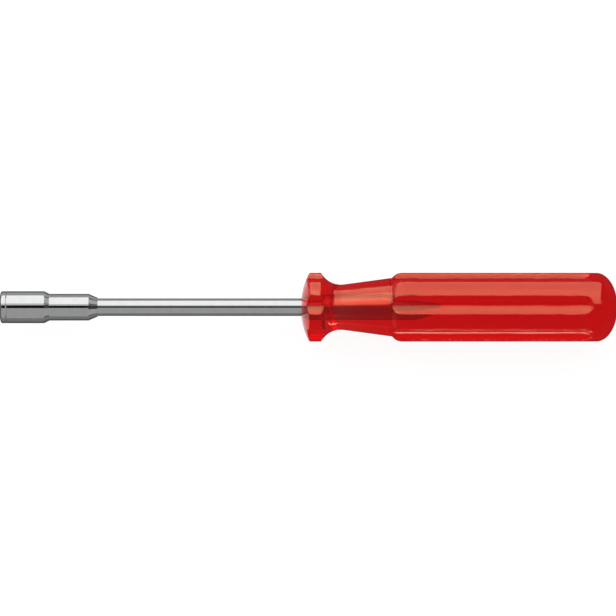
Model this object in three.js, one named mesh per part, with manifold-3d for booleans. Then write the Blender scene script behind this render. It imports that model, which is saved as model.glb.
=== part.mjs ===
// A bit driver: a stepped steel bit holder on a round blade, in a fluted handle of clear red plastic.
// Millimetres, +Z up. The tool lies on its side along X with its tip towards -X and one flute of the
// handle facing down, so it rests on the two ridges beside that flute.
// The origin is the centre of the magnet's face, where the end of a bit seats.

import * as THREE from 'three';
import { mergeVertices } from 'three/addons/utils/BufferGeometryUtils.js';
import Module from 'manifold-3d';

const wasm = await Module();
wasm.setup();

// Whole tool
const bladeExposure = 100; // from the holder's tip to the handle's front
const pressGap = 0.1; // left round a piece that is pressed or moulded in
const cutOverrun = 1; // how far a cutting shape reaches past the face that it opens

// The hexagonal shank that the holder takes
const bitAcrossFlats = 6.35;
const bitPlay = 0.1; // across the flats
const bitSeatDepth = 11; // from the holder's tip to the magnet's face

// Bit holder: a turned sleeve with a thick front over the socket and a slimmer rear on the blade
const holderFrontRadius = 5.3;
const holderFrontLength = 14.7;
const holderStepLength = 1.7;
const holderRearRadius = 4.42;
const holderRearLength = 13;
const holderTailLength = 3;
const holderTailWall = 0.12; // left at the thin end of the tail
const holderNoseSlope = 0.28; // rise of the front face for each millimetre outwards
const holderNoseRound = 0.7;
const holderEdgeRound = 0.5; // at the edges of the step and the tail
const holderLinePlace = 2.1; // from the tip to the fine line turned round the front
const holderLineWidth = 0.4;
const holderLineDepth = 0.12;
const holderWeb = 1.6; // between the magnet's pocket and the blade's bore
const mouthLeadIn = 0.14; // how far the mouth's chamfer is wider than the hexagon's corners

// Retaining ring: a C of spring wire in a groove near the mouth
const ringWire = 0.7;
const ringGrip = 0.17; // how far it reaches inside the corners of a bit
const ringPlay = 0.15; // free space round the wire in its groove
const ringSetback = 2; // from the tip to the groove
const ringOpeningDegrees = 50;

// Magnet: a plain disc in a round pocket under the hexagon, level with the socket's floor
const magnetRadius = 3;
const magnetLength = 4;
const magnetChamfer = 0.3;

// Blade: a round bar with a tapered rear end, and two ears pressed out of it that lock it in the handle
const bladeRadius = 2.9;
const bladeChamfer = 0.5;
const bladeEmbedded = 46; // length inside the handle
const bladeTaperLength = 8;
const bladeTaperRadius = 1.3; // at the rear end
const earSetback = 31.5; // from the handle's front to the ears
const earLength = 6;
const earReach = 4.2; // from the axis to an ear's outer edge
const earThickness = 1.8;
const earSlope = 1.2; // length of the ramp at each end of an ear

// Handle, front to back: domed front face, collar, waist, neck, shoulder, grip and domed butt
const faceRadius = 24; // of the sphere that the front face is part of
const boreChamfer = 0.35;
const collarRadius = 11.4;
const collarFrontRound = 0.6;
const waistRadius = 7.5;
const waistPlace = 13.1; // from the handle's front to its thinnest place
const waistRound = 7.5; // radius of the hollow between the collar and the neck
const neckEndRadius = 9.72;
const gripRadius = 11.4;
const shoulderRound = 4;
const gripStart = 33.3; // from the handle's front to where the shoulder reaches full size
const gripEnd = 97.8; // to where the butt starts to curve in
const buttLength = 7;

// Flutes: straight round-bottomed grooves along the collar and the grip
const fluteCount = 6;
const fluteRadius = 4.3;
const fluteDepth = 1.6;
const fluteEnd = 96.3; // from the handle's front to where a flute closes

// Fineness of the round shapes
const turnedSteps = 48;
const handleSteps = 78;
const fluteSteps = 28;
const wireSteps = 8;
const arcStepDegrees = 8;

// Sizes that follow from those above
const hexApothem = (bitAcrossFlats + bitPlay) / 2;
const hexCornerRadius = hexApothem / Math.cos(Math.PI / 6);
const bitCornerRadius = bitAcrossFlats / 2 / Math.cos(Math.PI / 6);
const mouthRadius = hexCornerRadius + mouthLeadIn;
const holderStepStart = holderFrontLength;
const holderRearStart = holderStepStart + holderStepLength;
const holderTailStart = holderRearStart + holderRearLength;
const holderLength = holderTailStart + holderTailLength;
const magnetPocketEnd = bitSeatDepth + magnetLength + pressGap;
const bladeBoreStart = magnetPocketEnd + holderWeb;
const bladeStart = bladeBoreStart + pressGap;
const ringInnerRadius = bitCornerRadius - ringGrip;
const ringPathRadius = ringInnerRadius + ringWire / 2;
const ringGrooveRadius = ringInnerRadius + ringWire + ringPlay;
const ringGrooveWidth = ringWire + 2 * ringPlay;
const fluteFloorRadius = gripRadius - fluteDepth;
const fluteAxisRadius = fluteFloorRadius + fluteRadius;
const handleBoreRadius = bladeRadius + pressGap;

// A closed geometry as a solid that can be cut and joined. Corners that coincide are merged, and
// triangles that a merge closes up, as at the poles of a turned shape, are dropped.
function solidOf(geometry) {
  const bare = geometry.clone();
  bare.deleteAttribute('normal');
  bare.deleteAttribute('uv');
  const merged = mergeVertices(bare);
  const corners = merged.index.array;
  const triangles = [];
  for (let i = 0; i < corners.length; i += 3) {
    const [a, b, c] = corners.slice(i, i + 3);
    if (a !== b && b !== c && c !== a) triangles.push(a, b, c);
  }
  return new wasm.Manifold(new wasm.Mesh({
    numProp: 3,
    vertProperties: merged.attributes.position.array,
    triVerts: new Uint32Array(triangles),
  }));
}

// A solid back as a geometry with flat faces.
function geometryOf(solid) {
  const mesh = solid.getMesh();
  const indexed = new THREE.BufferGeometry();
  indexed.setAttribute('position', new THREE.BufferAttribute(mesh.vertProperties, mesh.numProp));
  indexed.setIndex(new THREE.BufferAttribute(mesh.triVerts, 1));
  const geometry = indexed.toNonIndexed();
  geometry.computeVertexNormals();
  return geometry;
}

// Points of an arc in the plane of radius and place along the tool, its end points included.
function arc(centre, radius, startAngle, endAngle) {
  const step = THREE.MathUtils.degToRad(arcStepDegrees);
  const count = Math.max(2, Math.ceil(Math.abs(endAngle - startAngle) / step));
  return Array.from({ length: count + 1 }, (_, i) => {
    const angle = startAngle + (endAngle - startAngle) * i / count;
    return new THREE.Vector2(Math.cos(angle), Math.sin(angle)).multiplyScalar(radius).add(centre);
  });
}

// The outline through corners given as radius, place and an optional rounding, where a tangent arc
// takes the corner's place.
function roundedOutline(corners) {
  return corners.flatMap(([radius, place, round = 0], i) => {
    const corner = new THREE.Vector2(radius, place);
    if (round === 0) return [corner];
    const towards = ([r, p]) => new THREE.Vector2(r, p).sub(corner).normalize();
    const back = towards(corners[i - 1]);
    const ahead = towards(corners[i + 1]);
    const halfAngle = Math.acos(back.dot(ahead)) / 2;
    const inward = back.clone().add(ahead).normalize();
    const centre = corner.clone().addScaledVector(inward, round / Math.sin(halfAngle));
    const tangentLength = round / Math.tan(halfAngle);
    const start = corner.clone().addScaledVector(back, tangentLength).sub(centre).angle();
    const end = corner.clone().addScaledVector(ahead, tangentLength).sub(centre).angle();
    const turn = THREE.MathUtils.euclideanModulo(end - start + Math.PI, 2 * Math.PI) - Math.PI;
    return arc(centre, round, start, start + turn);
  });
}

// A turned solid: the outline, given from front to back, spun round the X axis.
function turned(outline, steps) {
  const geometry = new THREE.LatheGeometry(outline, steps);
  geometry.rotateZ(-Math.PI / 2);
  return solidOf(geometry);
}

// A plain round bar or bore along X between two places.
function roundBar(radius, start, end, steps) {
  const outline = [[0, start], [radius, start], [radius, end], [0, end]];
  return turned(outline.map(([r, p]) => new THREE.Vector2(r, p)), steps);
}

// A named mesh whose place along the tool is counted from the tip.
function piece(name, solid, material, place) {
  const mesh = new THREE.Mesh(geometryOf(solid), material);
  mesh.name = name;
  mesh.position.x = place;
  return mesh;
}

// Bit holder, counted from its tip. The front face slopes back from the mouth, a fine line is turned
// round the front, the step and the tail are cones, and the hollows are cut from both ends with a web
// left between them.
function makeBitHolder() {
  const noseBack = (holderFrontRadius - mouthRadius) * holderNoseSlope;
  const outside = turned(roundedOutline([
    [0, 0],
    [mouthRadius, 0],
    [holderFrontRadius, noseBack, holderNoseRound],
    [holderFrontRadius, holderLinePlace - holderLineWidth / 2],
    [holderFrontRadius - holderLineDepth, holderLinePlace],
    [holderFrontRadius, holderLinePlace + holderLineWidth / 2],
    [holderFrontRadius, holderStepStart, holderEdgeRound],
    [holderRearRadius, holderRearStart, holderEdgeRound],
    [holderRearRadius, holderTailStart, holderEdgeRound],
    [bladeRadius + pressGap + holderTailWall, holderLength],
    [0, holderLength],
  ]), turnedSteps);

  const hexLength = bitSeatDepth + cutOverrun;
  const hexagon = new THREE.CylinderGeometry(hexCornerRadius, hexCornerRadius, hexLength, 6);
  hexagon.rotateZ(-Math.PI / 2);
  hexagon.translate(hexLength / 2 - cutOverrun, 0, 0);

  const leadIn = turned(roundedOutline([
    [0, -cutOverrun],
    [mouthRadius + cutOverrun, -cutOverrun],
    [mouthRadius - hexApothem, hexApothem],
    [0, hexApothem],
  ]), turnedSteps);
  const ringGroove = roundBar(
    ringGrooveRadius, ringSetback, ringSetback + ringGrooveWidth, turnedSteps);
  const magnetPocket = roundBar(
    magnetRadius + pressGap, bitSeatDepth - cutOverrun, magnetPocketEnd, turnedSteps);
  const bladeBore = roundBar(
    bladeRadius + pressGap, bladeBoreStart, holderLength + cutOverrun, turnedSteps);

  return outside
    .subtract(solidOf(hexagon))
    .subtract(leadIn)
    .subtract(ringGroove)
    .subtract(magnetPocket)
    .subtract(bladeBore);
}

// Retaining ring, centred on the middle of its groove, its opening towards -Z.
function makeRetainingRing() {
  const opening = THREE.MathUtils.degToRad(ringOpeningDegrees);
  const wire = new THREE.Shape();
  wire.absarc(0, 0, ringWire / 2, 0, 2 * Math.PI, false);

  class RingPath extends THREE.Curve {
    getPoint(share, point = new THREE.Vector3()) {
      const angle = -Math.PI / 2 + opening / 2 + (2 * Math.PI - opening) * share;
      return point.set(0, Math.cos(angle), Math.sin(angle)).multiplyScalar(ringPathRadius);
    }
  }
  return solidOf(new THREE.ExtrudeGeometry(wire, {
    curveSegments: wireSteps / 2,
    steps: turnedSteps / 2,
    extrudePath: new RingPath(),
  }));
}

// Magnet, counted from its face.
function makeMagnet() {
  return turned(roundedOutline([
    [0, 0],
    [magnetRadius - magnetChamfer, 0],
    [magnetRadius, magnetChamfer],
    [magnetRadius, magnetLength - magnetChamfer],
    [magnetRadius - magnetChamfer, magnetLength],
    [0, magnetLength],
  ]), turnedSteps);
}

// The plate that both ears are part of, upright across the bar, grown by a gap on every side.
function earPlate(start, gap) {
  const reach = earReach + gap;
  const end = start + earLength;
  const outline = new THREE.Shape([
    new THREE.Vector2(start - gap, 0),
    new THREE.Vector2(start + earSlope - gap, reach),
    new THREE.Vector2(end - earSlope + gap, reach),
    new THREE.Vector2(end + gap, 0),
    new THREE.Vector2(end - earSlope + gap, -reach),
    new THREE.Vector2(start + earSlope - gap, -reach),
  ]);
  const thickness = earThickness + 2 * gap;
  const plate = new THREE.ExtrudeGeometry(outline, { depth: thickness, bevelEnabled: false });
  plate.translate(0, 0, -thickness / 2);
  plate.rotateX(Math.PI / 2);
  return solidOf(plate);
}

// Blade, counted from its front end in the holder.
function makeBlade() {
  const length = bladeExposure + bladeEmbedded - bladeStart;
  const bar = turned(roundedOutline([
    [0, 0],
    [bladeRadius - bladeChamfer, 0],
    [bladeRadius, bladeChamfer],
    [bladeRadius, length - bladeTaperLength],
    [bladeTaperRadius, length],
    [0, length],
  ]), turnedSteps);
  return bar.add(earPlate(bladeExposure - bladeStart + earSetback, 0));
}

// Outline of the handle from the middle of its front face to the middle of its butt.
function handleOutline() {
  const onAxis = (place) => new THREE.Vector2(0, place);

  // The front face is part of a sphere, and its place is counted where the bore comes out.
  const faceCentre = onAxis(Math.sqrt(faceRadius ** 2 - handleBoreRadius ** 2));
  const rimAngle = Math.acos((collarRadius - collarFrontRound) / (faceRadius - collarFrontRound));
  const face = arc(faceCentre, faceRadius, -Math.PI / 2, -rimAngle);

  // The rim's rounding touches the sphere from inside and the collar's cylinder.
  const rimCentre = new THREE.Vector2(
    collarRadius - collarFrontRound,
    faceCentre.y - (faceRadius - collarFrontRound) * Math.sin(rimAngle),
  );
  const rim = arc(rimCentre, collarFrontRound, -rimAngle, 0);

  // The hollow behind the collar runs into the neck's cone, which is tangent to it.
  const waistCentre = new THREE.Vector2(waistRadius + waistRound, waistPlace);
  const neckEnd = new THREE.Vector2(neckEndRadius, gripStart - shoulderReach());
  const toNeckEnd = neckEnd.clone().sub(waistCentre);
  const tangentTurn = Math.acos(waistRound / toNeckEnd.length());
  const collarAngle = -Math.acos((collarRadius - waistCentre.x) / waistRound);
  const neckAngle = toNeckEnd.angle() + tangentTurn - 2 * Math.PI;
  const hollow = arc(waistCentre, waistRound, collarAngle, neckAngle);

  // The shoulder starts at the neck's end with a sharp inner corner.
  const shoulderCentre = new THREE.Vector2(gripRadius - shoulderRound, gripStart);
  const shoulderAngle = -Math.acos((neckEndRadius - shoulderCentre.x) / shoulderRound);
  const shoulder = arc(shoulderCentre, shoulderRound, shoulderAngle, 0);

  // The butt is half an ellipse.
  const butt = arc(new THREE.Vector2(0, 0), 1, 0, Math.PI / 2).map(
    (point) => new THREE.Vector2(point.x * gripRadius, gripEnd + point.y * buttLength));
  butt[butt.length - 1].x = 0;
  face[0].x = 0;

  return [...face, ...rim.slice(1), ...hollow, ...shoulder, ...butt];
}

// Length of the shoulder, from the neck's end to full grip size.
function shoulderReach() {
  const rise = neckEndRadius - (gripRadius - shoulderRound);
  return Math.sqrt(shoulderRound ** 2 - rise ** 2);
}

// One flute's cutter, above the axis: a bar with a ball end that closes the flute before the butt.
function fluteCutter() {
  const ballReach = Math.sqrt(fluteRadius ** 2 - (fluteAxisRadius - gripRadius) ** 2);
  const ballCentre = new THREE.Vector2(0, fluteEnd - ballReach);
  const ball = arc(ballCentre, fluteRadius, 0, Math.PI / 2);
  ball[ball.length - 1].x = 0;
  const front = -cutOverrun;
  const outline = [new THREE.Vector2(0, front), new THREE.Vector2(fluteRadius, front), ...ball];
  return turned(outline, fluteSteps).translate(0, 0, fluteAxisRadius);
}

// Handle, counted from where the blade enters it.
function makeHandle() {
  let handle = turned(handleOutline(), handleSteps);
  const cutter = fluteCutter();
  for (let i = 0; i < fluteCount; i += 1) {
    handle = handle.subtract(cutter.rotate(360 * i / fluteCount, 0, 0));
  }
  const bore = turned(roundedOutline([
    [0, -cutOverrun],
    [handleBoreRadius, -cutOverrun],
    [handleBoreRadius, bladeEmbedded - bladeTaperLength],
    [bladeTaperRadius + pressGap, bladeEmbedded],
    [bladeTaperRadius + pressGap, bladeEmbedded + pressGap],
    [0, bladeEmbedded + pressGap],
  ]), turnedSteps);
  const boreMouth = turned(roundedOutline([
    [0, -cutOverrun],
    [handleBoreRadius + boreChamfer + cutOverrun, -cutOverrun],
    [handleBoreRadius, boreChamfer],
    [0, boreChamfer],
  ]), turnedSteps);
  return handle.subtract(bore).subtract(boreMouth).subtract(earPlate(earSetback, pressGap));
}

const satinSteel = new THREE.MeshStandardMaterial({
  color: 0xb4b6b8, metalness: 1, roughness: 0.28,
});
const springSteel = new THREE.MeshStandardMaterial({
  color: 0x8c8e90, metalness: 1, roughness: 0.35,
});
const platedMagnet = new THREE.MeshStandardMaterial({
  color: 0xc9c7c2, metalness: 1, roughness: 0.2,
});
const clearRed = new THREE.MeshStandardMaterial({
  color: 0xc31516, metalness: 0, roughness: 0.12, transparent: true, opacity: 0.75,
});

const ringPlace = ringSetback + ringGrooveWidth / 2;

const tool = new THREE.Group();
tool.position.x = -bitSeatDepth;
tool.add(
  piece('bit_holder', makeBitHolder(), satinSteel, 0),
  piece('retaining_ring', makeRetainingRing(), springSteel, ringPlace),
  piece('magnet', makeMagnet(), platedMagnet, bitSeatDepth),
  piece('blade', makeBlade(), satinSteel, bladeStart),
  piece('handle', makeHandle(), clearRed, bladeExposure),
);

const bitDriver = new THREE.Group();
bitDriver.add(tool);

export default bitDriver;
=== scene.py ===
"""A bit driver: a stepped steel bit holder on a round blade, in a fluted handle of clear red plastic.

Blender's metres, +Z up. The tool lies on its side along X with its tip towards -X. Sizes are written
in millimetres and each mesh is brought to metres as it is made. The sections follow the tool as it is
put together, and the studio comes last.
"""

import math

import bpy
import numpy as np
from mathutils import Matrix, Vector


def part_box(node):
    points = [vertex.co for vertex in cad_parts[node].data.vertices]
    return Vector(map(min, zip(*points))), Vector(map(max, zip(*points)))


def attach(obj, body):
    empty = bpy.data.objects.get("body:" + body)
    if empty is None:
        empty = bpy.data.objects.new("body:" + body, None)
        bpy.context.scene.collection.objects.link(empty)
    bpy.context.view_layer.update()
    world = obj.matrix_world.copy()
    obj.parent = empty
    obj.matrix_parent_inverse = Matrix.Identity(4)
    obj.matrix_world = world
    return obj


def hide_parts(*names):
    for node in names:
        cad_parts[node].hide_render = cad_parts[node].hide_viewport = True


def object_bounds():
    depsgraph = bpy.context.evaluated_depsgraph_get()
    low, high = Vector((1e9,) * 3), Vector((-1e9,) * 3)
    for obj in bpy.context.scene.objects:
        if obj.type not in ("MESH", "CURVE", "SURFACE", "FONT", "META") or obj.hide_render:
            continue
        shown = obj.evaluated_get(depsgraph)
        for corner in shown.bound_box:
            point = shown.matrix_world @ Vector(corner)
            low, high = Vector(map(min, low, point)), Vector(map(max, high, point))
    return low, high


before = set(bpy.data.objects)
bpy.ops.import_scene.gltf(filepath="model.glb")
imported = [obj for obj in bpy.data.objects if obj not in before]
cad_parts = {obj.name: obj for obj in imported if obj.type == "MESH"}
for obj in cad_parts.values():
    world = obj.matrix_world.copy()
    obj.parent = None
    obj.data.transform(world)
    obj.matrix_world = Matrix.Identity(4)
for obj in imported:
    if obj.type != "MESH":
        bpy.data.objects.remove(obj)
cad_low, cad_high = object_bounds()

MM = 0.001


# Blade: a round bar of tool steel, ground and then matt chrome plated. Its front end is pressed into
# the bit holder. Two ears are swaged out of it before its tapered rear end, up and down as the tool
# lies here, and the plastic of the handle closes round them.

def corners_mm(node):
    """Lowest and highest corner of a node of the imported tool, in millimetres."""
    return [np.array(corner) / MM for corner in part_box(node)]


blade_low, blade_high = corners_mm("blade")
blade_front, blade_back = blade_low[0], blade_high[0]
blade_radius = blade_high[1]
blade_chamfer = 0.5
taper_length = 8.0
taper_radius = 1.3  # at the rear end
ear_reach = blade_high[2]  # from the axis to an ear's outer edge
ear_setback = 8.5  # from the rear end to the ears
ear_length = 6.0
ear_thickness = 1.8
ear_slope = 1.2  # length of the ramp at each end of an ear
ear_round = 0.5
ear_margin = 1.0  # of plain bar before and behind the ears that has rows as fine as theirs
taper_start = blade_back - taper_length
ear_back = blade_back - ear_setback
blade_columns = 144
sharp_edge = math.radians(28)


def through(stops, counts):
    """Numbers from the first stop to the last, with so many equal steps between each two stops."""
    parts = [np.linspace(a, b, n, endpoint=False) for a, b, n in zip(stops, stops[1:], counts)]
    return np.concatenate([*parts, stops[-1:]])


def soft_min(a, b, width):
    """The lower of two, less (width - |a - b|)^2 / (4 width) where they are nearer than the width."""
    near = np.maximum(width - np.abs(a - b), 0)
    return np.minimum(a, b) - near**2 / (4 * width)


def blade_surface(places, angles):
    """Radius of the blade at each place along it and each angle from Z.

    It is the bar's, or that of the ears where it is more. An ear is a flat plate that stands up along
    Z, so its surface lies half its thickness over the sine of the angle away, or its height over the
    cosine where that is nearer.
    """
    bar = np.interp(
        places, [blade_front, blade_front + blade_chamfer, taper_start, blade_back],
        [blade_radius - blade_chamfer, blade_radius, blade_radius, taper_radius])
    ramp = [ear_back - ear_length, ear_back - ear_length + ear_slope, ear_back - ear_slope, ear_back]
    height = np.interp(places, ramp, [0, ear_reach, ear_reach, 0])
    sine, cosine = np.abs(np.sin(angles)), np.abs(np.cos(angles))
    side = ear_thickness / 2 / np.maximum(sine, 1e-6)
    top = height[:, None] / np.maximum(cosine, 1e-6)
    ear = soft_min(side, top, ear_round)
    return -soft_min(-bar[:, None], -ear, ear_round)


def spun(places, radii, angles):
    """Points round the X axis: Y is the radius times the sine of the angle, Z times the cosine."""
    along = np.broadcast_to(places[:, None], radii.shape)
    return np.stack([along, radii * np.sin(angles), radii * np.cos(angles)], axis=-1)


def closed_skin(name, grid, material, node):
    """A closed piece from a grid in millimetres whose columns go all the way round.

    The first and last row are single points, where fans of triangles close the ends.
    """
    rings, columns = grid.shape[0] - 2, grid.shape[1]
    points = np.vstack([grid[0, :1], grid[1:-1].reshape(-1, 3), grid[-1, :1]]) * MM
    here = 1 + np.arange(rings * columns).reshape(rings, columns)
    beside = np.roll(here, -1, axis=1)
    first = np.zeros(columns, int)
    last = first + len(points) - 1
    quads = np.stack([here[:-1], here[1:], beside[1:], beside[:-1]], axis=-1).reshape(-1, 4)
    fans = np.vstack([
        np.column_stack([first, here[0], beside[0]]),
        np.column_stack([here[-1], last, beside[-1]]),
    ])
    mesh = bpy.data.meshes.new(name)
    mesh.from_pydata(points.tolist(), [], quads.tolist() + fans.tolist())
    mesh.shade_smooth()
    mesh.set_sharp_from_angle(angle=sharp_edge)
    mesh.materials.append(material)
    piece = bpy.data.objects.new(name, mesh)
    bpy.context.scene.collection.objects.link(piece)
    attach(piece, "root")
    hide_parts(node)
    return piece


def new_material(name):
    """An empty node material, with its node tree and its output."""
    material = bpy.data.materials.new(name)
    material.use_nodes = True
    tree = material.node_tree
    tree.nodes.clear()
    return material, tree, tree.nodes.new("ShaderNodeOutputMaterial")


def noise(tree, scale, detail=3.0, roughness=0.5):
    """Noise on Object coordinates, with its own number of features for each metre along X, Y and Z."""
    place = tree.nodes.new("ShaderNodeTexCoord")
    mapping = tree.nodes.new("ShaderNodeMapping")
    mapping.inputs["Scale"].default_value = scale
    tree.links.new(place.outputs["Object"], mapping.inputs["Vector"])
    texture = tree.nodes.new("ShaderNodeTexNoise")
    texture.inputs["Scale"].default_value = 1
    texture.inputs["Detail"].default_value = detail
    texture.inputs["Roughness"].default_value = roughness
    tree.links.new(mapping.outputs["Vector"], texture.inputs["Vector"])
    return texture.outputs["Fac"]


def remap(tree, value, low, high):
    """A noise value's middle part, 0.3 to 0.7, spread between two numbers."""
    node = tree.nodes.new("ShaderNodeMapRange")
    node.inputs["From Min"].default_value = 0.3
    node.inputs["From Max"].default_value = 0.7
    node.inputs["To Min"].default_value = low
    node.inputs["To Max"].default_value = high
    tree.links.new(value, node.inputs["Value"])
    return node.outputs["Result"]


def tinted(tree, value, dark, light):
    """A colour between two, by a noise value."""
    node = tree.nodes.new("ShaderNodeMix")
    node.data_type = "RGBA"
    node.inputs["A"].default_value = (*dark, 1)
    node.inputs["B"].default_value = (*light, 1)
    tree.links.new(remap(tree, value, 0, 1), node.inputs["Factor"])
    return node.outputs["Result"]


def bumped(tree, value, height):
    """A normal tilted as if the value stood up by a height in metres."""
    node = tree.nodes.new("ShaderNodeBump")
    node.inputs["Distance"].default_value = height
    tree.links.new(value, node.inputs["Height"])
    return node.outputs["Normal"]


def turned_metal(name, dark, light, smooth, rough, line_height, edge_tint):
    """Metal with the fine rings that a lathe or a grinder leaves round it, as noise that is drawn out
    round the X axis, and a cloudier noise for the plating's uneven sheen."""
    material, tree, output = new_material(name)
    shader = tree.nodes.new("ShaderNodeBsdfPrincipled")
    shader.inputs["Metallic"].default_value = 1
    shader.inputs["Specular Tint"].default_value = (*edge_tint, 1)
    rings = noise(tree, (5200, 90, 90), detail=4)
    clouds = noise(tree, (420, 420, 420), detail=5)
    tree.links.new(tinted(tree, clouds, dark, light), shader.inputs["Base Color"])
    tree.links.new(remap(tree, rings, smooth, rough), shader.inputs["Roughness"])
    tree.links.new(bumped(tree, rings, line_height), shader.inputs["Normal"])
    tree.links.new(shader.outputs["BSDF"], output.inputs["Surface"])
    return material


ear_front = ear_back - ear_length
ear_rows = [ear_front - ear_margin, ear_front, ear_front + ear_slope]
ear_rows += [ear_back - ear_slope, ear_back, ear_back + ear_margin]
blade_stops = [blade_front, blade_front + blade_chamfer, *ear_rows, blade_back]
blade_places = through(blade_stops, [3, 60, 4, 16, 12, 16, 4, 24])
blade_angles = np.linspace(0, 2 * math.pi, blade_columns, endpoint=False)
blade_radii = blade_surface(blade_places, blade_angles)
blade_rings = spun(blade_places, blade_radii, blade_angles)
blade_poles = spun(blade_places[[0, -1]], np.zeros((2, blade_columns)), blade_angles)
blade_steel = turned_metal(
    "matt_chromed_steel", (0.54, 0.545, 0.55), (0.58, 0.585, 0.59), 0.04, 0.08, 3e-7, (0.6, 0.6, 0.6))
closed_skin(
    "blade_bar", np.concatenate([blade_poles[:1], blade_rings, blade_poles[1:]]),
    blade_steel, "blade")


# Handle: one piece of clear red cellulose plastic, turned to shape, its flutes milled along the collar
# and the grip and closed by the cutter's round end before the butt, then polished to a high gloss. It
# is forced over the blade, so no air is left between the two.

handle_low, handle_high = corners_mm("handle")
handle_length = 104.8
handle_front = handle_high[0] - handle_length
grip_radius = handle_high[1]
face_radius = 24.0  # of the sphere that the front face is part of
bore_chamfer = 0.35
bore_bite = 0.02  # how far the plastic reaches into the steel, so that no air shows between them
rim_round = 0.6
collar_back_round = 0.25
waist_radius = 7.5
waist_place = 13.1
waist_round = 7.5
neck_end_radius = 9.72
shoulder_round = 4.0
grip_start = 33.3
grip_end = 97.8
flute_count = 6
flute_radius = 4.3
flute_depth = 1.6
flute_end = 96.3
flute_edge_round = 0.35
clear_red_absorption = (6.0, 300.0, 320.0)  # for each metre, of red, green and blue


def arc(centre, radius, start, end, count):
    """Points of an arc as radius from the axis and place: the centre plus the arc's radius times the
    cosine and the sine of the angle."""
    angles = np.linspace(start, end, count)
    return np.column_stack([np.cos(angles), np.sin(angles)]) * radius + centre


def straight(start, end, count):
    """Points of a straight stretch, evenly spaced."""
    return np.linspace(start, end, count)


def handle_outline():
    """The handle's outline from the bore's mouth over the front face to the middle of the butt."""
    mouth_radius = blade_radius + bore_chamfer
    face_centre = np.array([0, math.sqrt(face_radius**2 - mouth_radius**2)])
    rim_angle = math.acos((grip_radius - rim_round) / (face_radius - rim_round))
    face = arc(face_centre, face_radius, -math.acos(mouth_radius / face_radius), -rim_angle, 62)

    rim_centre = face_centre + (face_radius - rim_round) * np.array(
        [math.cos(rim_angle), -math.sin(rim_angle)])
    rim = arc(rim_centre, rim_round, -rim_angle, 0, 7)

    # The collar's rear edge is rounded by an arc that touches the cylinder from inside and the hollow
    # from outside, so its centre lies the two radii from the hollow's.
    hollow_centre = np.array([waist_radius + waist_round, waist_place])
    edge_radius = grip_radius - collar_back_round
    sideways = hollow_centre[0] - edge_radius
    reach = waist_round + collar_back_round
    edge_centre = np.array([edge_radius, waist_place - math.sqrt(reach**2 - sideways**2)])
    to_hollow = math.atan2(hollow_centre[1] - edge_centre[1], sideways)
    edge = arc(edge_centre, collar_back_round, 0, to_hollow, 7)

    # The neck's cone touches the hollow, at a right angle to the radius of the hollow there.
    rise = neck_end_radius - (grip_radius - shoulder_round)
    neck_end = np.array([neck_end_radius, grip_start - math.sqrt(shoulder_round**2 - rise**2)])
    to_neck_end = neck_end - hollow_centre
    neck_angle = math.atan2(to_neck_end[1], to_neck_end[0]) - 2 * math.pi
    neck_angle += math.acos(waist_round / np.linalg.norm(to_neck_end))
    hollow = arc(hollow_centre, waist_round, to_hollow - math.pi, neck_angle, 46)

    shoulder_centre = np.array([grip_radius - shoulder_round, grip_start])
    shoulder = arc(shoulder_centre, shoulder_round, -math.acos(rise / shoulder_round), 0, 34)
    grip = straight([grip_radius, grip_start], [grip_radius, ball_place], 22)
    ball = straight([grip_radius, ball_place], [grip_radius, grip_end], 44)
    turn = np.linspace(0, math.pi / 2, 44)
    butt = np.column_stack([
        grip_radius * np.cos(turn), grip_end + (handle_length - grip_end) * np.sin(turn)])
    return np.vstack([
        face, rim[1:], straight(rim[-1], edge[0], 10)[1:], edge[1:], hollow[1:],
        straight(hollow[-1], neck_end, 18)[1:], shoulder[1:], grip[1:], ball[1:], butt[1:-1]])


def flute_floor(places, angles):
    """Distance from the axis to the flutes' floor: d cos(a) - root(q - (d sin(a))^2).

    d is the distance of the cutter's axis, a the angle from the nearest flute, and q the cutter's
    radius squared, less the square of how far the place is past the middle of its ball end. Where the
    root has no value there is no flute, and the distance has no end.
    """
    pitch = 2 * math.pi / flute_count
    aside = (angles + pitch / 2) % pitch - pitch / 2
    past_ball = np.maximum(places - ball_place, 0)[:, None]
    square = flute_radius**2 - past_ball**2 - (flute_axis * np.sin(aside))**2
    floor = flute_axis * np.cos(aside) - np.sqrt(np.maximum(square, 0))
    return np.where(square > 0, floor, np.inf)


flute_axis = grip_radius - flute_depth + flute_radius
ball_place = flute_end - math.sqrt(flute_radius**2 - (flute_axis - grip_radius)**2)
edge_angle = math.acos(
    (flute_axis**2 + grip_radius**2 - flute_radius**2) / (2 * flute_axis * grip_radius))
edge_spread = math.radians(1.9)
pitch = 2 * math.pi / flute_count
sector_stops = [
    0, edge_angle - edge_spread, edge_angle + edge_spread,
    pitch - edge_angle - edge_spread, pitch - edge_angle + edge_spread, pitch]
sector = through(sector_stops, [8, 9, 8, 9, 8])[:-1]
handle_angles = (sector + pitch * np.arange(flute_count)[:, None]).ravel()

outside = handle_outline()
outside_radii = soft_min(
    outside[:, :1], flute_floor(outside[:, 1], handle_angles), flute_edge_round)
bore_places = through(
    [blade_back - bore_bite, ear_rows[4], ear_rows[3], ear_rows[2], ear_rows[1],
     handle_front + bore_chamfer],
    [16, 10, 6, 10, 34])
bore_radii = blade_surface(bore_places, handle_angles) - bore_bite
handle_places = np.concatenate([
    bore_places[:1], bore_places, handle_front + outside[:, 1], [handle_front + handle_length]])
pole_radii = np.zeros((1, len(handle_angles)))
handle_radii = np.vstack([pole_radii, bore_radii, outside_radii, pole_radii])


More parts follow.
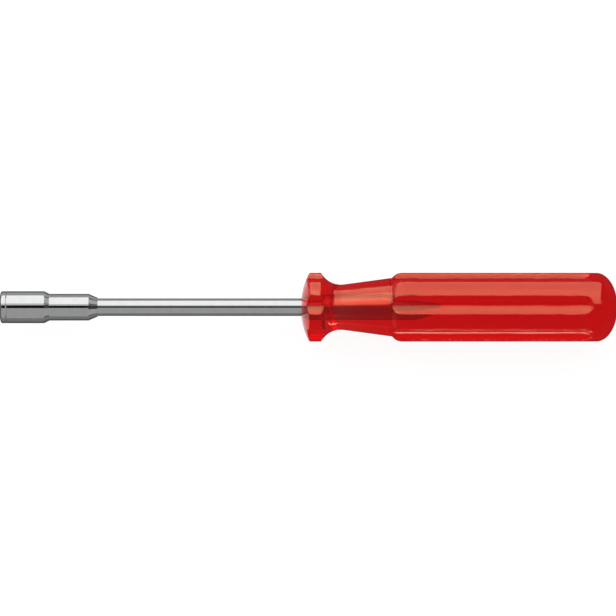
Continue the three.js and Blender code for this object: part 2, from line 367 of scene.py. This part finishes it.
def clear_plastic(name):
    """Clear plastic that soaks up light along its way through, so it is pale where thin and deep where
    thick.
    It also glows faintly red, which is painted light. The polish has faint uneven patches, and the surface
    waves by a few thousandths."""
    material, tree, output = new_material(name)
    shader = tree.nodes.new("ShaderNodeBsdfPrincipled")
    shader.inputs["Base Color"].default_value = (1, 0.93, 0.9, 1)
    shader.inputs["Transmission Weight"].default_value = 1
    shader.inputs["IOR"].default_value = 1.48
    shader.inputs["Specular IOR Level"].default_value = 0.9
    shader.inputs["Specular Tint"].default_value = (1, 0.5, 0.28, 1)
    # Painted glow: a faint red light of its own, in place of light scattered inside the plastic.
    shader.inputs["Emission Color"].default_value = (1, 0.1, 0.12, 1)
    shader.inputs["Emission Strength"].default_value = 0.06
    polish = noise(tree, (260, 260, 260), detail=4)
    waves = noise(tree, (60, 110, 110), detail=1)
    tree.links.new(remap(tree, polish, 0.012, 0.045), shader.inputs["Roughness"])
    tree.links.new(bumped(tree, waves, 2e-6), shader.inputs["Normal"])
    tree.links.new(shader.outputs["BSDF"], output.inputs["Surface"])
    density = 1.05 * max(clear_red_absorption)  # a little over it, so that no share reaches 0
    inside = tree.nodes.new("ShaderNodeVolumeAbsorption")
    inside.inputs["Density"].default_value = density
    inside.inputs["Color"].default_value = (*(1 - share / density for share in clear_red_absorption), 1)
    tree.links.new(inside.outputs["Volume"], output.inputs["Volume"])
    return material


closed_skin(
    "handle_body", spun(handle_places, handle_radii, handle_angles),
    clear_plastic("clear_red_plastic"), "handle")


# Bit holder: a sleeve turned from steel bar in two steps, with a cone down to the blade. Its hexagon is
# broached, with a chamfered mouth, a groove for the retaining ring and a round pocket for the magnet.
# It is pressed on the blade and matt chrome plated with it.

holder_low, holder_high = corners_mm("bit_holder")
holder_front, holder_back = holder_low[0], holder_high[0]
holder_radius = holder_high[1]
hexagon_apothem = 3.225
hexagon_depth = 11.0
mouth_radius = 3.864
nose_slope = 0.28
nose_round = 0.7
step_start = 14.7
step_length = 1.7
rear_radius = 4.42
rear_length = 13.0
edge_round = 0.5
tail_radius = 3.12
line_place = 2.1  # of the fine line turned round the front
line_depth = 0.12
line_width = 0.4
groove_start = 2.0
groove_width = 1.0
groove_radius = 4.346
pocket_radius = 3.1
pocket_end = 15.1
press_bore_radius = 3.0
press_bore_start = 16.7
holder_columns = 144


def rounded(corners):
    """The outline through corners given as radius, place and rounding, with a touching arc in place of
    each corner that has a rounding: its centre lies on the corner's bisector, the rounding over the
    sine of half the corner's angle away."""
    parts = []
    for before, (radius, place, round_by), after in zip(corners, corners[1:], corners[2:]):
        corner = np.array([radius, place])
        if not round_by:
            parts.append([corner])
            continue
        back = np.array(before[:2]) - corner
        ahead = np.array(after[:2]) - corner
        back, ahead = back / np.linalg.norm(back), ahead / np.linalg.norm(ahead)
        half = math.acos(back @ ahead) / 2
        inward = (back + ahead) / np.linalg.norm(back + ahead)
        centre = corner + inward * round_by / math.sin(half)
        to_start = corner + back * round_by / math.tan(half) - centre
        to_end = corner + ahead * round_by / math.tan(half) - centre
        start = math.atan2(to_start[1], to_start[0])
        turn = (math.atan2(to_end[1], to_end[0]) - start + math.pi) % (2 * math.pi) - math.pi
        parts.append(arc(centre, round_by, start, start + turn, 8))
    return np.vstack([corners[0][:2], *parts, corners[-1][:2]])


def hexagon_radii(angles):
    """Radius of the hexagon: its apothem over the cosine of the angle from the nearest flat."""
    sixth = math.pi / 3
    return hexagon_apothem / np.cos(angles % sixth - sixth / 2)


holder_angles = np.linspace(0, 2 * math.pi, holder_columns, endpoint=False)
holder_length = holder_back - holder_front
nose_back = (holder_radius - mouth_radius) * nose_slope
holder_outside = rounded([
    (mouth_radius, 0, 0),
    (holder_radius, nose_back, nose_round),
    (holder_radius, line_place - line_width / 2, 0),
    (holder_radius - line_depth, line_place, 0),
    (holder_radius, line_place + line_width / 2, 0),
    (holder_radius, step_start, edge_round),
    (rear_radius, step_start + step_length, edge_round),
    (rear_radius, step_start + step_length + rear_length, edge_round),
    (tail_radius, holder_length, 0),
    (press_bore_radius, holder_length, 0),
    (press_bore_radius, press_bore_start, 0),
])
lead_in_depth = mouth_radius - hexagon_apothem
socket_places = np.concatenate([
    straight(hexagon_depth, groove_start + groove_width, 10),
    [groove_start + groove_width, groove_start],
    straight(groove_start, lead_in_depth, 4),
    straight(lead_in_depth, 0, 14)[1:]])
hexagon = hexagon_radii(holder_angles)
cone = (mouth_radius - socket_places)[:, None]
socket_radii = np.maximum(hexagon, cone)
groove_rows = slice(10, 12)  # the two that follow the ten of the hexagon's deep part
socket_radii[groove_rows] = groove_radius
round_radii = np.ones(holder_columns)
pocket = np.array([[0, pocket_end], [pocket_radius, pocket_end], [pocket_radius, hexagon_depth]])
holder_places = np.concatenate([
    pocket[:, 1], socket_places, holder_outside[1:, 1], [press_bore_start]])
holder_radii = np.vstack([
    pocket[:, :1] * round_radii, socket_radii, holder_outside[1:, :1] * round_radii, 0 * round_radii])
holder_steel = turned_metal(
    "turned_holder_steel", (0.54, 0.545, 0.55), (0.58, 0.585, 0.59), 0.05, 0.09, 4e-7, (0.6, 0.6, 0.6))
closed_skin(
    "holder_sleeve", spun(holder_front + holder_places, holder_radii, holder_angles),
    holder_steel, "bit_holder")


# Magnet: a sintered disc with bevelled edges, nickel plated, pressed into its pocket at the bottom of
# the socket. Its face is level with the socket's floor, and the end of a bit lies against it.

magnet_low, magnet_high = corners_mm("magnet")
magnet_radius = magnet_high[1]
magnet_bevel = 0.3
magnet_bevel_round = 0.12
magnet_columns = 96

magnet_outline = rounded([
    (0, magnet_low[0], 0),
    (magnet_radius - magnet_bevel, magnet_low[0], magnet_bevel_round),
    (magnet_radius, magnet_low[0] + magnet_bevel, magnet_bevel_round),
    (magnet_radius, magnet_high[0] - magnet_bevel, magnet_bevel_round),
    (magnet_radius - magnet_bevel, magnet_high[0], magnet_bevel_round),
    (0, magnet_high[0], 0),
])
magnet_angles = np.linspace(0, 2 * math.pi, magnet_columns, endpoint=False)
magnet_radii = magnet_outline[:, :1] * np.ones(magnet_columns)


def nickel_plate(name):
    """Bright nickel, warmer than chrome, with fine scratches from the bits that slide over it."""
    material, tree, output = new_material(name)
    shader = tree.nodes.new("ShaderNodeBsdfPrincipled")
    shader.inputs["Metallic"].default_value = 1
    scratches = noise(tree, (900, 6000, 1500), detail=6, roughness=0.7)
    colour = tinted(tree, scratches, (0.56, 0.54, 0.5), (0.66, 0.64, 0.6))
    tree.links.new(colour, shader.inputs["Base Color"])
    tree.links.new(remap(tree, scratches, 0.12, 0.3), shader.inputs["Roughness"])
    tree.links.new(bumped(tree, scratches, 2e-6), shader.inputs["Normal"])
    tree.links.new(shader.outputs["BSDF"], output.inputs["Surface"])
    return material


closed_skin(
    "magnet_disc", spun(magnet_outline[:, 1], magnet_radii, magnet_angles),
    nickel_plate("nickel_plate"), "magnet")


# Retaining ring: a C of hard drawn spring wire, sprung into the groove behind the mouth, its opening
# down. It stands a little into the hexagon's corners and clicks over a bit as it goes in.

ring_low, ring_high = corners_mm("retaining_ring")
wire_radius = (ring_high[0] - ring_low[0]) / 2
ring_place = (ring_high[0] + ring_low[0]) / 2
ring_radius = ring_high[1] - wire_radius
ring_opening = math.radians(50)


def wire_surface():
    """Points of the wire: the ring's centreline, a circle about X, plus the wire's radius times the
    cosine along the ring's own radius and the sine along X. Each end is half a ball, whose rows shrink
    with the sine of their angle and stand out with its cosine."""
    cap = np.linspace(0, math.pi / 2, 8)
    run = np.linspace(0, 1, 120)
    size = np.concatenate([np.sin(cap), np.ones(len(run) - 2), np.sin(cap[::-1])])
    stand_out = np.concatenate([-np.cos(cap), np.zeros(len(run) - 2), np.cos(cap[::-1])])
    share = np.concatenate([np.zeros(len(cap)), run[1:-1], np.ones(len(cap))])
    angle = -math.pi / 2 + ring_opening / 2 + (2 * math.pi - ring_opening) * share
    nought = np.zeros_like(angle)
    outward = np.column_stack([nought, np.cos(angle), np.sin(angle)])
    forward = np.column_stack([nought, -np.sin(angle), np.cos(angle)])
    centre = outward * ring_radius + forward * (stand_out * wire_radius)[:, None]
    centre[:, 0] += ring_place
    about = np.linspace(0, 2 * math.pi, 24, endpoint=False)
    radial = outward[:, None] * np.cos(about)[:, None] + np.array([1, 0, 0]) * np.sin(about)[:, None]
    return centre[:, None] + radial * (size * wire_radius)[:, None, None]


closed_skin(
    "spring_ring", wire_surface(),
    turned_metal("spring_wire", (0.28, 0.285, 0.29), (0.38, 0.38, 0.38), 0.2, 0.36, 1e-6, (0.8, 0.8, 0.8)),
    "retaining_ring")


# Floor: a plain white table that the tool lies on. The camera sees it white with a faint shadow. The
# plastic and the polished steel show it dim, with light and shade painted in by place: in reflections a
# painted shadow of the tool beside it, painted light towards the softbox and painted shade under the
# handle, and through the plastic painted light that is brightest straight under the tool.

floor_half = 30.0
floor_glow = 0.88  # for the camera
floor_colour = 0.18
# Painted light and shade on the table as reflections see it: dark near the tool as a painted shadow,
# brighter towards the softbox on +Y, and from the handle's front on a painted shade under the handle.
painted_glow_in_reflections = (-0.03, 0.29), (-0.008, 0.12), (0.008, 0.13), (0.03, 0.52)  # metres of Y, glow
# Painted light on the table as seen through the plastic: brightest straight under the tool, dimmer to each
# side.
painted_glow_through_plastic = (-0.01, 0.34), (-0.006, 0.46), (0.007, 0.46), (0.013, 0.4)
painted_handle_shade = 0.1  # share of the reflected glow that is left under the handle
painted_handle_shade_from, painted_handle_shade_to = 0.088, 0.09  # metres of X


def ray_strength(tree, shares):
    """The sum of the Light Path outputs named, each times its share, a number or an output."""
    path = tree.nodes.new("ShaderNodeLightPath")
    total = None
    for name, share in shares.items():
        node = tree.nodes.new("ShaderNodeMath")
        node.operation = "MULTIPLY_ADD"
        node.inputs[2].default_value = 0
        tree.links.new(path.outputs[name], node.inputs[0])
        if isinstance(share, float):
            node.inputs[1].default_value = share
        else:
            tree.links.new(share, node.inputs[1])
        if total:
            tree.links.new(total, node.inputs[2])
        total = node.outputs["Value"]
    return total


def flat_sheet(name, corners, material):
    """A stage piece: one flat sheet through four corners in metres."""
    mesh = bpy.data.meshes.new(name)
    mesh.from_pydata(corners, [], [(0, 1, 2, 3)])
    mesh.materials.append(material)
    sheet = bpy.data.objects.new(name, mesh)
    bpy.context.scene.collection.objects.link(sheet)
    return sheet


def along_floor(tree, axis):
    """The place on the floor along X or Y, in metres."""
    place = tree.nodes.new("ShaderNodeTexCoord")
    parts = tree.nodes.new("ShaderNodeSeparateXYZ")
    tree.links.new(place.outputs["Object"], parts.inputs["Vector"])
    return parts.outputs[axis]


def by_side(tree, stops):
    """A value that goes in straight lines between the stops as Y grows."""
    share = tree.nodes.new("ShaderNodeMapRange")
    first, last = stops[0][0], stops[-1][0]
    share.inputs["From Min"].default_value = first
    share.inputs["From Max"].default_value = last
    tree.links.new(along_floor(tree, "Y"), share.inputs["Value"])
    ramp = tree.nodes.new("ShaderNodeValToRGB")
    tree.links.new(share.outputs["Result"], ramp.inputs["Fac"])
    elements = ramp.color_ramp.elements
    for y, _ in stops[1:-1]:
        elements.new((y - first) / (last - first))
    for element, (_, value) in zip(elements, stops):
        element.color = (value, value, value, 1)
    return ramp.outputs["Color"]


def painted_shade_under_handle(tree, value):
    """The value, but only a small share of it from the handle's front on, as painted shade under the
    handle.
    """
    step = tree.nodes.new("ShaderNodeMapRange")
    step.inputs["From Min"].default_value = painted_handle_shade_from
    step.inputs["From Max"].default_value = painted_handle_shade_to
    step.inputs["To Min"].default_value = 1
    step.inputs["To Max"].default_value = painted_handle_shade
    tree.links.new(along_floor(tree, "X"), step.inputs["Value"])
    product = tree.nodes.new("ShaderNodeMath")
    product.operation = "MULTIPLY"
    tree.links.new(value, product.inputs[0])
    tree.links.new(step.outputs["Result"], product.inputs[1])
    return product.outputs["Value"]


floor_material, floor_tree, floor_output = new_material("white_table")
seen_glow = floor_tree.nodes.new("ShaderNodeEmission")
seen_glow.inputs["Strength"].default_value = floor_glow
paint = floor_tree.nodes.new("ShaderNodeBsdfDiffuse")
paint.inputs["Color"].default_value = (floor_colour, floor_colour, floor_colour, 1)
seen = floor_tree.nodes.new("ShaderNodeAddShader")
floor_tree.links.new(seen_glow.outputs["Emission"], seen.inputs[0])
floor_tree.links.new(paint.outputs["BSDF"], seen.inputs[1])
mirrored = floor_tree.nodes.new("ShaderNodeEmission")
floor_tree.links.new(
    ray_strength(floor_tree, {
        "Is Transmission Ray": by_side(floor_tree, painted_glow_through_plastic),
        "Is Glossy Ray": painted_shade_under_handle(floor_tree, by_side(floor_tree, painted_glow_in_reflections)),
    }),
    mirrored.inputs["Strength"])
either = floor_tree.nodes.new("ShaderNodeMixShader")
floor_tree.links.new(ray_strength(floor_tree, {"Is Camera Ray": 1.0}), either.inputs["Fac"])
floor_tree.links.new(mirrored.outputs["Emission"], either.inputs[1])
floor_tree.links.new(seen.outputs["Shader"], either.inputs[2])
floor_tree.links.new(either.outputs["Shader"], floor_output.inputs["Surface"])
floor_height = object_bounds()[0].z
floor = flat_sheet("floor", [
    (x * floor_half, y * floor_half, floor_height) for x, y in ((-1, -1), (1, -1), (1, 1), (-1, 1))
], floor_material)


# Light: one large softbox on the far side, from the horizon up, in a dim room. The clear plastic takes
# more of it than the steel, so it is made of lamps that each light one of the two. Cards round the
# tool give the steel its grey lower half and thin dark line, and the plastic something to show.

# Directions are in degrees from overhead towards +Y, and ends in metres along X from the tool's middle.
tool_middle = (cad_low.x + cad_high.x) / 2
room_glow = 0.3  # in reflections
softbox_from, softbox_to = 23, 93
softbox_split = 59  # between the low and the high part that the plastic sees
softbox_edge_from = 7
softbox_distance = 1.6
softbox_ends = -3.4, 0.95
softbox_for_steel = 1.5
softbox_for_plastic = 3.4, 5.0, 3.0  # its low and high parts, and its soft upper edge
left_low, left_high = 1.0, 2.4  # what lamps 5 cm before it add for the collar and the neck
left_distance = 1.55
left_ends = -0.6, 0.0186

# Two lamps lie on the table, one for the fine lines low on the grip and one for the domed front face.
# Their sides are metres of X and then of Y.
side_lamp_sides = 0.119, 0.186, -0.3, -0.06
side_lamp_radiance = 7.0
front_lamp_sides = 0.04, 0.088, -0.012, 0.012
front_lamp_radiance = 0.75
table_lamp_lift = 0.0005


def panel_corners(distance, from_degrees, to_degrees, ends):
    """Corners of a flat panel along X, between its ends, that spans these directions as seen from the
    tool and faces it. Its width is twice its distance times the tangent of half the angle."""
    width = 2 * distance * math.tan(math.radians(to_degrees - from_degrees) / 2)
    turn = math.radians((from_degrees + to_degrees) / 2)
    middle = np.array([tool_middle, distance * math.sin(turn), distance * math.cos(turn)])
    over = np.array([0, math.cos(turn), -math.sin(turn)]) * width / 2
    corners = (ends[0], -1), (ends[0], 1), (ends[1], 1), (ends[1], -1)
    return [tuple(middle + np.array([end, 0, 0]) + side * over) for end, side in corners]


def table_corners(x_from, x_to, y_from, y_to):
    """Corners of a panel that lies on the table and faces up."""
    z = floor_height + table_lamp_lift
    return [(x_from, y_from, z), (x_to, y_from, z), (x_to, y_to, z), (x_from, y_to, z)]


def only_for(light, *lit):
    """Links a light to the objects that it lights."""
    receivers = bpy.data.collections.new(f"lit by {light.name}")
    for thing in lit:
        receivers.objects.link(thing)
    light.light_linking.receiver_collection = receivers


def lamp(name, radiance, corners, *lit):
    """An area lamp between four corners that looks as bright as a white wall times the radiance."""
    first, second, third, fourth = [Vector(corner) for corner in corners]
    along, over = fourth - first, second - first
    light = bpy.data.lights.new(name, "AREA")
    light.shape = "RECTANGLE"
    light.size = along.length
    light.size_y = over.length
    light.energy = radiance * math.pi * along.length * over.length
    thing = bpy.data.objects.new(name, light)
    bpy.context.scene.collection.objects.link(thing)
    axes = Matrix([along.normalized(), over.normalized(), along.cross(over).normalized()])
    thing.matrix_world = Matrix.LocRotScale((first + third) / 2, axes.transposed(), None)
    thing.visible_camera = False
    thing.visible_transmission = False
    only_for(thing, *lit)


def softbox_part(from_degrees, to_degrees):
    """Corners of the part of the softbox that spans these directions."""
    return panel_corners(softbox_distance, from_degrees, to_degrees, softbox_ends)


steel_names = ["blade_bar", "holder_sleeve", "magnet_disc", "spring_ring"]
steel_pieces = [bpy.data.objects[name] for name in steel_names]
plastic = bpy.data.objects["handle_body"]

low_part, high_part, edge_part = softbox_for_plastic
lamp("softbox_for_steel", softbox_for_steel - room_glow, softbox_part(softbox_from, softbox_to),
     floor, *steel_pieces)
lamp("softbox_low_part", low_part - room_glow, softbox_part(softbox_split, softbox_to), plastic)
lamp("softbox_high_part", high_part - room_glow, softbox_part(softbox_from, softbox_split), plastic)
lamp("softbox_edge", edge_part, softbox_part(softbox_edge_from, softbox_from), plastic)
lamp("softbox_left_low", left_low,
     panel_corners(left_distance, softbox_split, softbox_to, left_ends), plastic)
lamp("softbox_left_high", left_high,
     panel_corners(left_distance, softbox_from, softbox_split, left_ends), plastic)

lamp("side_lamp", side_lamp_radiance, table_corners(*side_lamp_sides), plastic)
lamp("front_lamp", front_lamp_radiance, table_corners(*front_lamp_sides), plastic)

# The cards: a black one over the tool makes the thin dark line, with a dim one beside it and a grey one
# all along the near side. Past the butt, the holder's cones mirror a dark card and a grey wall. The last
# two show only through the plastic, the second as a strip near the tool in place of the softbox.
card_distance = 2.6
card_ends = -3.5, 3.5
card_low = -93  # where the cards of the near side start
black_from, black_to = -11, 10
black_radiance = 0.01
grey_radiance = 0.5
dim_radiance = 0.8
end_card_span, end_card_ends = (-26, 34), (2.2, 3.1)
end_card_distance = 2.5
end_card_radiance = 0.06
end_wall_place, end_wall_half, end_wall_height = 4, 6, 8
end_wall_radiance = 0.6
through_card_to, through_card_radiance = 6, 0.25
through_softbox_distance, through_softbox_ends = 0.03, (-0.3, 0.031)
through_softbox_radiance = 1.2


def card(name, radiance, corners, through_plastic=False):
    """A plain panel that casts no shadow. Either only reflections see it, or only what shines through
    the plastic does."""
    material, tree, output = new_material(name)
    shade = tree.nodes.new("ShaderNodeEmission")
    shade.inputs["Strength"].default_value = radiance
    tree.links.new(shade.outputs["Emission"], output.inputs["Surface"])
    sheet = flat_sheet(name, corners, material)
    sheet.visible_camera = False
    sheet.visible_shadow = False
    sheet.visible_diffuse = False
    sheet.visible_glossy = not through_plastic
    sheet.visible_transmission = through_plastic
    return sheet


card("black_card", black_radiance, panel_corners(card_distance, black_from, black_to, card_ends))
card("dim_card", dim_radiance, panel_corners(card_distance, black_to, softbox_from, card_ends))
card("dark_end_card", end_card_radiance,
     panel_corners(end_card_distance, *end_card_span, end_card_ends))
grey_card = card(
    "grey_card", grey_radiance, panel_corners(card_distance, card_low, black_from, card_ends))
end_wall = card("end_wall", end_wall_radiance, [
    (end_wall_place, -end_wall_half, 0), (end_wall_place, end_wall_half, 0),
    (end_wall_place, end_wall_half, end_wall_height), (end_wall_place, -end_wall_half, end_wall_height)])
only_for(grey_card, *steel_pieces)
only_for(end_wall, *steel_pieces)
card("card_through_plastic", through_card_radiance,
     panel_corners(card_distance, card_low, through_card_to, card_ends), True)
card("softbox_through_plastic", through_softbox_radiance,
     panel_corners(through_softbox_distance, softbox_from, softbox_to, through_softbox_ends), True)

# The room: white to the camera, dim in reflections, and soft light on the tool from all sides.
room_light = 0.7
room_glow_in_plastic = 0.4

world = bpy.data.worlds.new("room")
bpy.context.scene.world = world
world.use_nodes = True
background = world.node_tree.nodes["Background"]
background.inputs["Color"].default_value = (1, 1, 1, 1)
world.node_tree.links.new(
    ray_strength(world.node_tree, {
        "Is Camera Ray": 1.0,
        "Is Diffuse Ray": room_light,
        "Is Transmission Ray": room_glow_in_plastic,
        "Is Glossy Ray": room_glow,
    }),
    background.inputs["Strength"])
bpy.context.scene.cycles.max_bounces = 48
bpy.context.scene.cycles.glossy_bounces = 32
bpy.context.scene.cycles.transmission_bounces = 32


# Camera: a long lens almost straight above the tool, tipped so that the upper flute sits a little
# above the middle of the handle. The frame is cut close to both ends of the tool.

image_px = 616
px_per_mm = 3.015
axis_px = 307.2  # the tool's axis, from the top of the image
camera_elevation = 86.1
camera_lens = 400.0

view_turn = math.radians(90 - camera_elevation)
back = np.array([0, -math.sin(view_turn), math.cos(view_turn)])
image_up = np.array([0, math.cos(view_turn), math.sin(view_turn)])
image_centre = np.array([holder_front + image_px / 2 / px_per_mm, 0, 0])
image_centre -= image_up * (image_px / 2 - axis_px) / px_per_mm
lens = bpy.data.cameras.new("camera")
lens.lens = camera_lens
lens.sensor_width = 36.0
camera_distance = image_px / px_per_mm * camera_lens / lens.sensor_width
lens.clip_start = 0.1
lens.clip_end = 200.0
camera = bpy.data.objects.new("camera", lens)
bpy.context.scene.collection.objects.link(camera)
camera.location = (image_centre + back * camera_distance) * MM
camera.rotation_euler = (view_turn, 0, 0)
bpy.context.scene.camera = camera
bpy.context.scene.view_settings.view_transform = "Standard"
